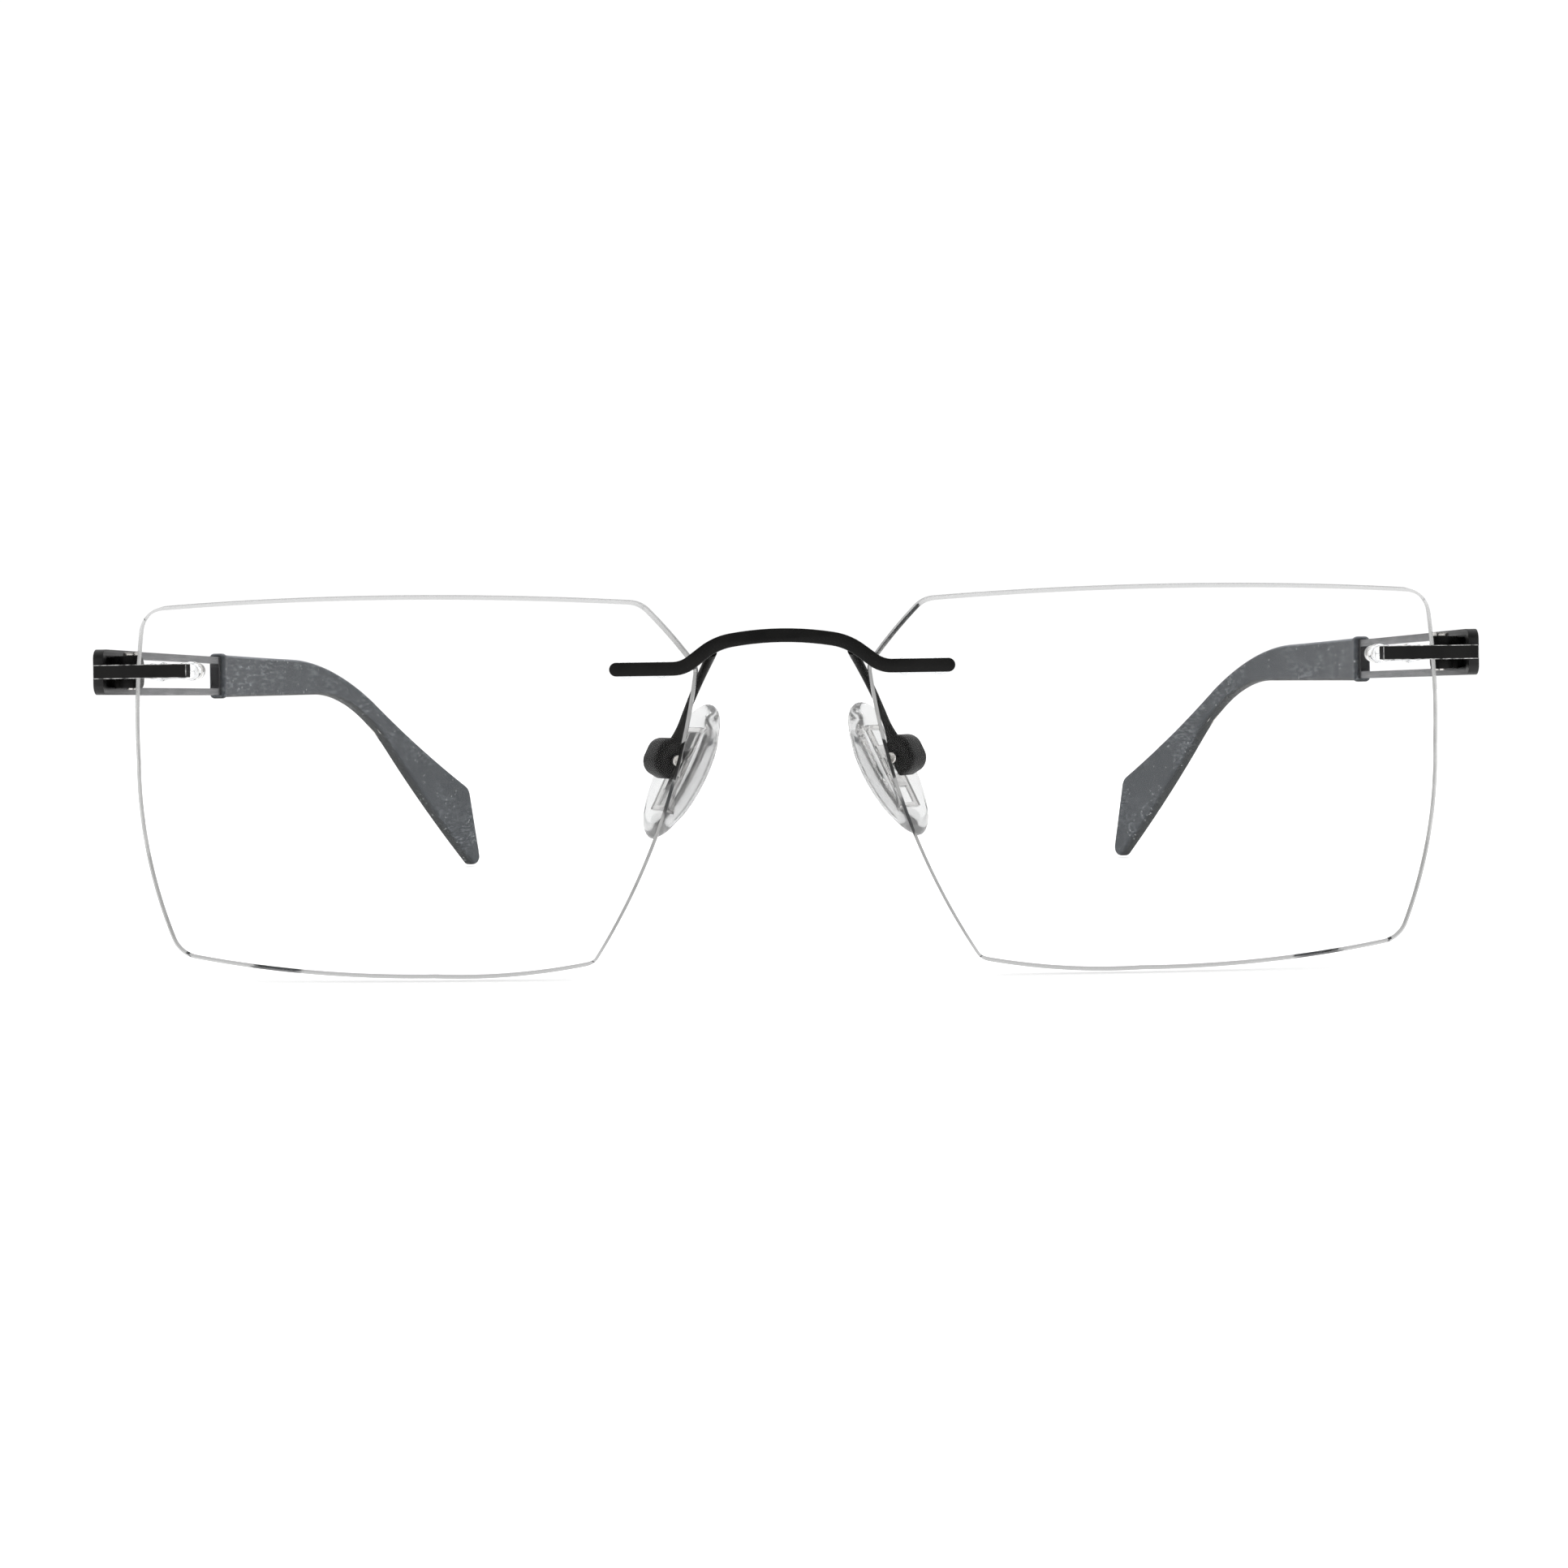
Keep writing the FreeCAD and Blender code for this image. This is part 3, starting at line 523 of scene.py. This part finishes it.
def lens_outline():
    """Outline in the lens's plane: arcs through three points, with a round corner between two."""
    starts = [LENS_START] + [e[1] for e in LENS_EDGES[:-1]]
    arcs = [three_point_arc(s, e[0], e[1]) for s, e in zip(starts, LENS_EDGES)]
    turns = []
    for arc, following in zip(arcs, arcs[1:] + arcs[:1]):
        a, b = heading(arc, arc[2] + arc[3]), heading(following, following[2])
        turns.append(math.acos(np.clip(a @ b, -1, 1)))
    cuts = [e[2] * math.tan(turn / 2) for e, turn in zip(LENS_EDGES, turns)]
    out = []
    for i, (centre, radius, first, sweep) in enumerate(arcs):
        sign = np.sign(sweep)
        low = first + sign * cuts[i - 1] / radius
        high = first + sweep - sign * cuts[i] / radius
        angles = np.linspace(low, high, 30)
        out.append(centre + radius * np.stack([np.cos(angles), np.sin(angles)], axis=1))
        if cuts[i]:
            following = arcs[(i + 1) % len(arcs)]
            begin = following[2] + np.sign(following[3]) * cuts[i] / following[1]
            p, q = on_arc(arcs[i], high), on_arc(following, begin)
            u, v = heading(arcs[i], high), heading(following, begin)
            reach = np.linalg.solve(np.stack([u, v], axis=1), q - p)[0]
            out.append(conic_corner(p, p + u * reach, q, turns[i], 16)[1:-1])
    points = np.concatenate(out)
    keep = np.linalg.norm(points - np.roll(points, 1, axis=0), axis=1) > 1e-4
    return points[keep]


def dome(flat, radius):
    """Depth of a sphere of this radius about the lens's centre of curvature."""
    return LENS_CURVE - np.sqrt(radius ** 2 - flat[..., 0] ** 2 - flat[..., 1] ** 2)


def seat_places(spot):
    """Centre and direction of the two holes of a seat: on the front sphere, square to it."""
    middle = LENS_CENTRE + lens_turn() @ np.array([0, LENS_CURVE, 0])
    x, z = spot
    across, rise = x - middle[0], z - middle[2]
    depth = math.sqrt(LENS_CURVE ** 2 - across ** 2 - rise ** 2)
    slope = math.atan2(across, depth)
    here = np.array([x, middle[1] - depth, z])
    run = np.array([math.cos(slope), math.sin(slope), 0])
    inwards = np.array([-math.sin(slope), math.cos(slope), 0])
    return [(here + run * s * PIN_PITCH / 2, run, inwards) for s in (-1, 1)]


def tube_points(start, run, inwards, radius, low, high, count=40):
    """Closed cylinder between two depths, with a pole at each end."""
    angles = np.linspace(0, 2 * math.pi, count, endpoint=False)
    ring = np.cos(angles)[:, None] * run + np.sin(angles)[:, None] * np.array([0, 0, 1.0])
    rows = [(0, low), (radius, low), (radius, high), (0, high)]
    return np.stack([start + inwards * d + ring * r for r, d in rows])


def values(items, name, width, kind):
    """One attribute of every item of a mesh collection, as rows of this width."""
    out = np.zeros(len(items) * width, kind)
    items.foreach_get(name, out)
    return out.reshape(-1, width) if width > 1 else out


def polish(mesh, side):
    """Exact normals on the two spheres: each points along the line to their common centre."""
    centre = to_frame(LENS_CENTRE + lens_turn() @ np.array([0, LENS_CURVE, 0]), side)
    places = values(mesh.vertices, "co", 3, float)
    point_of = values(mesh.loops, "vertex_index", 1, np.int32)
    normals = values(mesh.corner_normals, "vector", 3, np.float32)
    corners = values(mesh.polygons, "loop_total", 1, np.int32)
    kinds = values(mesh.polygons, "material_index", 1, np.int32)
    facing_for_painted_light = np.repeat(values(mesh.polygons, "normal", 3, float), corners, axis=0)
    spokes = places[point_of] - centre
    spokes /= np.linalg.norm(spokes, axis=1)[:, None]
    spokes *= np.sign(np.sum(spokes * facing_for_painted_light, axis=1))[:, None]
    on_face = np.repeat(kinds, corners) == 0
    normals[on_face] = spokes[on_face]
    mesh.normals_split_custom_set(normals.tolist())


def make_lens(side):
    """Meniscus: two spheres inside the outline, a wall between them, small bevels at its rims."""
    rim = lens_outline()
    inner = rim - outward(rim) * EDGE_BEVEL
    scales = LENS_RINGS
    front, back = LENS_CURVE, LENS_CURVE - LENS_THICK
    rows = []
    for s in scales:
        flat = inner * s
        rows.append((flat, dome(flat, front)))
    for share in np.linspace(0, 1, WALL_STEPS + 1):
        low, high = dome(rim, front) + EDGE_BEVEL, dome(rim, back) - EDGE_BEVEL
        rows.append((rim, low + (high - low) * share))
    for s in scales[::-1]:
        flat = inner * s
        rows.append((flat, dome(flat, back)))
    local = np.stack([np.stack([f[:, 0], d, f[:, 1]], axis=1) for f, d in rows])
    points = to_frame(local @ lens_turn().T + LENS_CENTRE, side)
    faces = len(scales) - 1
    row_materials = [0] * faces + [1] + [2] * WALL_STEPS + [1] + [0] * faces
    finishes = [LENS_FACE, LENS_BEVEL, LENS_EDGE]
    lens = add_mesh("lens_blank", [(points, True, row_materials)], finishes, 22.0)
    drills = [(to_frame(tube_points(*place, HOLE_RADIUS, *DRILL_DEPTHS), side), True, [1, 1, 1])
              for spot in SEATS for place in seat_places(spot)]
    drill = add_mesh("drill", drills, finishes)
    cut = lens.modifiers.new("drilled", "BOOLEAN")
    cut.object = drill
    cut.operation = "DIFFERENCE"
    cut.solver = "EXACT"
    made = settle(lens, "lens_" + side + "_polished")
    bpy.data.objects.remove(drill)
    cleaned(made.data, 1e-7)
    shade(made, 30.0)
    polish(made.data, side)
    hand_over(made, "front", "clear_lens", "lens_" + side)


# ---- Temple sleeves -----------------------------------------------------------------------

SPLAY = math.radians(0.1)
TEMPLE_X = 68.9
TEMPLE_FRONT_Y = 5.05
CURVE_START_Y = 47.0
TEMPLE_CURVE = 268.0
SLEEVE_INSET = 0.05
SLEEVE_THICK = 1.6
SLEEVE_START_Y = 47.6
SLEEVE_ROUND = 0.55
COLLAR_STEP = 0.15
COLLAR_LENGTH = 1.4
COLLAR_FADE = 0.35
# Rounding of the sleeve's front end, over this run, and of its tip
FRONT_ROUND = 0.3
FRONT_ROUND_RUN = 0.45
TIP_ROUND = 1.3
SLEEVE_TIP_SHARE = 0.035
CORNER_POINTS = 40
# Side view of the sleeve, from its upper front corner over the ear: y, z, corner radius
SLEEVE_CORNERS = (
    (SLEEVE_START_Y, 33.7, 0.0),
    (92.0, 33.15, 73.0),
    (135.7, 12.7, 2.0),
    (139.76, -2.2, 1.42),
    (99.9, 28.55, 42.0),
    (SLEEVE_START_Y, 28.55, 0.0),
)


def plan_line(y):
    """Middle line of the temple seen from above, and how far it has turned inwards: a straight
    part that splays outwards, then one arc inwards."""
    y = np.asarray(y, float)
    knee = TEMPLE_X - SLEEVE_INSET + (CURVE_START_Y - TEMPLE_FRONT_Y) * math.tan(SPLAY)
    centre_x = knee - TEMPLE_CURVE * math.cos(SPLAY)
    centre_y = CURVE_START_Y + TEMPLE_CURVE * math.sin(SPLAY)
    turn = np.arcsin(np.clip((y - centre_y) / TEMPLE_CURVE, -1, 1))
    curved = y > CURVE_START_Y
    x = np.where(curved, centre_x + TEMPLE_CURVE * np.cos(turn),
                 knee - (CURVE_START_Y - y) * math.tan(SPLAY))
    return x, np.where(curved, turn, -SPLAY)


def sleeve_stations():
    """Shares of the sleeve's length where it has a section, closer together at both ends."""
    fine = 1 - np.cos(np.linspace(0, math.pi / 2, 22))
    return np.unique(np.concatenate([
        np.linspace(0, 0.030, 20), np.linspace(0.033, 0.80, 74), np.linspace(0.805, 0.965, 34),
        1 - SLEEVE_TIP_SHARE * (1 - fine), 1 - SLEEVE_TIP_SHARE * fine]))


def sleeve_section():
    """A rounded rectangle as rows of (across, up, round across, round up): the first two are
    shares of its flat half sizes, the others shares of its corner radius."""
    quarter = np.linspace(0, math.pi / 2, 7)
    flats = np.linspace(1, -1, 9)[1:-1]
    rows = [(1, 1, math.cos(a), math.sin(a)) for a in quarter]
    rows += [(s, 1, 0, 1) for s in (0.4, -0.4)]
    rows += [(-1, 1, -math.sin(a), math.cos(a)) for a in quarter]
    rows += [(-1, s, -1, 0) for s in flats]
    rows += [(-1, -1, -math.cos(a), -math.sin(a)) for a in quarter]
    rows += [(s, -1, 0, -1) for s in (-0.4, 0.4)]
    rows += [(1, -1, math.sin(a), -math.cos(a)) for a in quarter]
    rows += [(1, s, 1, 0) for s in -flats]
    return np.array(rows).T


def round_rise(share):
    """Height of a quarter circle of radius 1, this share of the way in from its foot."""
    return np.sqrt(1 - (1 - share) ** 2)


def make_sleeve(side):
    """Sections carried along the sleeve: each is a rounded rectangle between a point of its
    lower edge and one of its upper edge, thicker at the collar, closing to a round tip."""
    outline = rounded_outline(SLEEVE_CORNERS, CORNER_POINTS)
    tip = 1 + 2 * CORNER_POINTS + CORNER_POINTS // 2
    stations = sleeve_stations()
    high, low = along(outline[:tip + 1], stations), along(outline[tip:][::-1], stations)
    middle, half = (high + low) / 2, np.linalg.norm(high - low, axis=1) / 2
    rise = (high - low) / np.maximum(2 * half, 1e-6)[:, None]
    rise[-1] = rise[-2]
    run = middle[:, 0] - SLEEVE_START_Y
    lip = np.clip((COLLAR_LENGTH - run) / COLLAR_FADE, 0, 1)
    extra = COLLAR_STEP * lip * lip * (3 - 2 * lip)
    extra = extra - FRONT_ROUND * (1 - round_rise(np.clip(run / FRONT_ROUND_RUN, 0, 1)))
    thick = (SLEEVE_THICK / 2 + extra) * round_rise(np.clip(half / TIP_ROUND, 0, 1))
    half = half + extra
    soft = np.minimum(SLEEVE_ROUND, np.minimum(thick, half) * 0.98)
    flat_across, flat_up, round_across, round_up = sleeve_section()
    across = flat_across * (thick - soft)[:, None] + round_across * soft[:, None]
    height = flat_up * (half - soft)[:, None] + round_up * soft[:, None]
    side_y = middle[:, :1] + rise[:, :1] * height
    side_z = middle[:, 1:] + rise[:, 1:] * height
    x, turn = plan_line(side_y)
    points = np.stack([x + across / np.cos(turn), side_y, side_z], axis=-1)
    front = points[:1].mean(axis=1, keepdims=True)
    caps = [front + (points[:1] - front) * s for s in (0.0, 0.5, 0.93)]
    end_cap = points[-1:].mean(axis=1, keepdims=True) + 0 * points[-1:]
    points = np.concatenate([*caps, points, end_cap])
    sleeve = add_mesh("temple_sleeve_" + side + "_moulded",
                      [(to_frame(points, side), True, None)], [SLATE], 45.0)
    hand_over(sleeve, "temple_" + side, "sleeve_plastic", "temple_sleeve_" + side)


# ---- Nose pads ----------------------------------------------------------------------------

PAD_SPLAY = math.radians(32.0)
PAD_LEAN = math.radians(28.0)
PAD_LENGTH = 15.0
PAD_WIDTH = 9.0
PAD_THICK = 2.5
PAD_BACK = 0.95
PAD_DROP = 0.35
PAD_EGG = 0.05
PAD_RIM = 0.85
PAD_FLAT = 0.8
PAD_DOME = 0.42


def pad_turn():
    """Axes of the pad: x into the nose, y forwards along its screw, z up the pad."""
    cs, ss = math.cos(PAD_SPLAY), math.sin(PAD_SPLAY)
    cl, sl = math.cos(PAD_LEAN), math.sin(PAD_LEAN)
    splay = np.array([[cs, ss, 0], [-ss, cs, 0], [0, 0, 1]])
    lean = np.array([[cl, 0, -sl], [0, 1, 0], [sl, 0, cl]])
    half_turn = np.diag([-1.0, -1.0, 1.0])
    return splay @ lean @ half_turn


def pad_place(local, side):
    """Pad coordinates to frame metres."""
    return to_frame(local @ pad_turn().T + PAD_PIVOT, side)


def make_pad(side):
    """Oval pillow: rings shrink from the rim to the middle, the back flat, the nose side domed,
    and the rim is a half round."""
    angles = np.linspace(0, 2 * math.pi, 96, endpoint=False)
    oval_y = PAD_WIDTH / 2 * np.cos(angles) * (1 + PAD_EGG * np.sin(angles))
    oval_z = PAD_LENGTH / 2 * np.sin(angles)
    roll = np.linspace(-math.pi / 2, math.pi / 2, 13)
    rows = [(s, 0.0) for s in (0, 0.3, 0.55, 0.75)]
    rows += [(1 - (1 - math.cos(a)) * (1 - PAD_FLAT), PAD_RIM * (1 + math.sin(a))) for a in roll]
    rows += [(s * PAD_FLAT, PAD_THICK - PAD_DOME * s ** 2.2) for s in (0.93, 0.75, 0.5, 0.25, 0)]
    points = np.stack([np.stack([PAD_BACK + x + 0 * angles, oval_y * s, oval_z * s - PAD_DROP],
                                axis=1) for s, x in rows])
    pad = add_mesh("nose_pad_" + side + "_silicone",
                   [(pad_place(points, side), True, None)], [SILICONE], 60.0)
    hand_over(pad, "pad_" + side, "silicone", "nose_pad_" + side)


# Outline of the cup about its screw, as (across, up, corner radius), and its dished front face
# as (share of the outline, depth)
BOX_CORNERS = ((-2.2, -1.9, 1.5), (0.45, -1.95, 0.35), (0.5, 1.55, 0.5), (-0.6, 2.1, 0.9),
               (-2.2, 1.85, 1.6))
BOX_DEPTH = 3.2
BOX_ROUND = 0.55
BOX_DISH = ((0.0, 0.22), (0.3, 0.18), (0.6, 0.08), (0.85, 0.0))


def make_pad_box(side):
    """Cup of the pad arm: a rounded pebble, dished on its front."""
    outline = rounded_outline(BOX_CORNERS, 10)
    out = outward(outline)
    half = BOX_DEPTH / 2
    middle = outline.mean(axis=0)
    roll = np.linspace(0, math.pi / 2, 6)
    rows = [(middle + (outline - out * BOX_ROUND - middle) * s, half - dip) for s, dip in BOX_DISH]
    for face, angles in ((1, roll), (-1, roll[::-1])):
        rows += [(outline - out * BOX_ROUND * (1 - math.sin(a)),
                  face * (half - BOX_ROUND * (1 - math.cos(a)))) for a in angles]
    rows.append((middle + 0 * outline, -half))
    points = np.stack([np.stack([f[:, 0], d + 0 * f[:, 0], f[:, 1]], axis=1) for f, d in rows])
    box = add_mesh("pad_box_" + side + "_cup", [(pad_place(points, side), True, None)],
                   [BLACK], 50.0)
    hand_over(box, "front", "black_metal", "pad_box_" + side)


ARM_POINTS = np.array([(6.9, 1.0, 32.4), (7.6, 3.6, 31.0), (9.2, 5.6, 28.4), (11.2, 7.6, 23.2)])
# The wire's two half sizes: at the bridge, how much thinner at the box, how much the flare adds
ARM_RADII = ((0.50, 0.13, 0.42), (0.46, 0.06, 0.25))
ARM_FLARE_START = 0.86


def make_pad_arm(side):
    """Wire carried along one smooth curve, thicker at the bridge, flared where it meets the box."""
    t = np.linspace(0, 1, 60)[:, None]
    a, b, c, d = ARM_POINTS
    b, c = (a + 3 * b) / 4 + (b - c) * 0.1, c + (c - d) * 0.15
    line = (1 - t) ** 3 * a + 3 * t * (1 - t) ** 2 * b + 3 * t ** 2 * (1 - t) * c + t ** 3 * d
    ahead = np.gradient(line, axis=0)
    ahead /= np.linalg.norm(ahead, axis=1)[:, None]
    first = np.cross(ahead, [0.0, 1.0, 0.25])
    first /= np.linalg.norm(first, axis=1)[:, None]
    second = np.cross(ahead, first)
    flare = np.clip((t - ARM_FLARE_START) / (1 - ARM_FLARE_START), 0, 1)
    wide, deep = (start - thinner * t + wider * flare ** 2 for start, thinner, wider in ARM_RADII)
    angles = np.linspace(0, 2 * math.pi, 24, endpoint=False)
    ring = (wide[:, :, None] * np.cos(angles)[None, :, None] * first[:, None]
            + deep[:, :, None] * np.sin(angles)[None, :, None] * second[:, None])
    points = line[:, None] + ring
    points = np.concatenate([points[:1] * 0 + line[:1, None], points,
                             points[-1:] * 0 + line[-1:, None]])
    arm = add_mesh("pad_arm_" + side + "_wire", [(to_frame(points, side), True, None)],
                   [BLACK], 60.0)
    hand_over(arm, "front", "black_metal", "pad_arm_" + side)


# ---- Everything together ------------------------------------------------------------------

# Each pair of CAD pieces that is only softened: body, material, slot, edge width, chamfer's
# material. TEMPLE and PAD stand for the side's own body.
FRONT, TEMPLE, PAD = "front", "temple_", "pad_"
SOFTENED = {
    "endpiece": (FRONT, BLACK, "black_metal", 0.07, CHAMFER),
    "hinge_knuckle": (FRONT, BLACK, "black_metal", 0.08, None),
    "hinge_leaf": (TEMPLE, BLACK, "black_metal", 0.1, None),
    "hinge_screw": (TEMPLE, STEEL, "bright_metal", 0.05, None),
    "temple_frame": (TEMPLE, RAIL, "grey_metal", 0.12, None),
    "pad_screw": (FRONT, STEEL, "bright_metal", 0.04, None),
    "pad_insert": (PAD, INSERT, "clear_plug", 0.15, None),
    "bridge_bushing": (FRONT, PLUG, "clear_plug", 0.1, None),
    "endpiece_bushing": (FRONT, PLUG, "clear_plug", 0.1, None),
}


def dress(node, material):
    """A CAD piece whose shape is right gets its finish through its own slot."""
    mesh = frame["nodes"][node].data
    mesh.materials.clear()
    mesh.materials.append(material)


hand_over(softened("bridge_bar", BLACK, 0.12), "front", "black_metal", "bridge_bar")
for side in SIDES:
    make_lens(side)
    make_sleeve(side)
    make_pad(side)
    make_pad_box(side)
    make_pad_arm(side)
    for piece, (body, material, slot, width, chamfer) in SOFTENED.items():
        node = piece + "_" + side
        rides_on = body if body == FRONT else body + side
        hand_over(softened(node, material, width, chamfer), rides_on, slot, node)
    for piece in ("bridge_pins", "endpiece_pins", "temple_core"):
        dress(piece + "_" + side, STEEL)


# ---- Stage --------------------------------------------------------------------------------

FLOOR_REACH = 3.0
FLOOR_DROP = 0.0002
BACKDROP = 1.04


def make_floor():
    """Plain pale floor just under the glasses."""
    corners = [(x * FLOOR_REACH, y * FLOOR_REACH, -FLOOR_DROP)
               for x, y in ((-1, -1), (1, -1), (-1, 1), (1, 1))]
    mesh = bpy.data.meshes.new("floor")
    mesh.from_pydata(corners, [], [(0, 1, 3, 2)])
    floor = bpy.data.objects.new("floor", mesh)
    bpy.context.scene.collection.objects.link(floor)
    f = Finish("pale_floor", Base_Color=(0.9, 0.9, 0.9, 1), Emission_Color=(1, 1, 1, 1),
               Emission_Strength=0.52)
    f.set("Roughness", f.span(f.noise(40.0), 0, 1, 0.85, 0.95))
    mesh.materials.append(f.material)


def soft_step(tree, value, low, high, to_low, to_high):
    """The value carried smoothly from low..high to to_low..to_high."""
    made = tree.nodes.new("ShaderNodeMapRange")
    made.interpolation_type = "SMOOTHSTEP"
    set_range(made, low, high, to_low, to_high)
    tree.links.new(value, made.inputs["Value"])
    return made.outputs["Result"]


def make_light():
    """Soft studio: bright all round behind, brightest overhead, dimmer on the side it's seen
    from, with a white backdrop."""
    world = bpy.data.worlds.new("soft_studio")
    bpy.context.scene.world = world
    world.use_nodes = True
    tree = world.node_tree
    split = tree.nodes.new("ShaderNodeSeparateXYZ")
    tree.links.new(tree.nodes.new("ShaderNodeTexCoord").outputs["Generated"], split.inputs[0])
    total = tree.nodes.new("ShaderNodeMath")
    total.operation = "ADD"
    around = soft_step(tree, split.outputs["Y"], -0.9, 0.35, 0.25, BACKDROP)
    above = soft_step(tree, split.outputs["Z"], 0.5, 0.95, 0.0, 0.25)
    tree.links.new(around, total.inputs[0])
    tree.links.new(above, total.inputs[1])
    backdrop = tree.nodes.new("ShaderNodeMix")
    backdrop.inputs["B"].default_value = BACKDROP
    tree.links.new(tree.nodes.new("ShaderNodeLightPath").outputs["Is Camera Ray"],
                   backdrop.inputs["Factor"])
    tree.links.new(total.outputs[0], backdrop.inputs["A"])
    background = tree.nodes["Background"]
    tree.links.new(backdrop.outputs["Result"], background.inputs["Strength"])
    background.inputs["Color"].default_value = (1, 1, 1, 1)


CAMERA_DISTANCE = 203.0
CAMERA_HEIGHT = 29.6
CAMERA_YAW = math.radians(0.78)
CAMERA_ROLL = math.radians(0.85)
CAMERA_LENS = 47.7
CAMERA_SHIFT = (0.001, -0.0663)


def make_camera():
    """Level camera in front of the bridge, a touch to the wearer's left, rolled slightly."""
    data = bpy.data.cameras.new("camera")
    data.sensor_width = 36.0
    data.lens = CAMERA_LENS
    data.shift_x, data.shift_y = CAMERA_SHIFT
    data.clip_start, data.clip_end = 0.01, 20.0
    camera = bpy.data.objects.new("camera", data)
    bpy.context.scene.collection.objects.link(camera)
    ahead = np.array([-math.sin(CAMERA_YAW), math.cos(CAMERA_YAW), 0])
    right = np.array([math.cos(CAMERA_YAW), math.sin(CAMERA_YAW), 0])
    up = np.array([0, 0, 1.0])
    cr, sr = math.cos(CAMERA_ROLL), math.sin(CAMERA_ROLL)
    spot = to_frame(-ahead * CAMERA_DISTANCE + up * CAMERA_HEIGHT)
    matrix = np.eye(4)
    matrix[:3, 0] = right * cr - up * sr
    matrix[:3, 1] = up * cr + right * sr
    matrix[:3, 2] = -ahead
    matrix[:3, 3] = spot
    camera.matrix_world = Matrix(matrix.tolist())
    bpy.context.scene.camera = camera


make_floor()
make_light()
make_camera()
view = bpy.context.scene.view_settings
view.view_transform = "Standard"
view.look = "None"
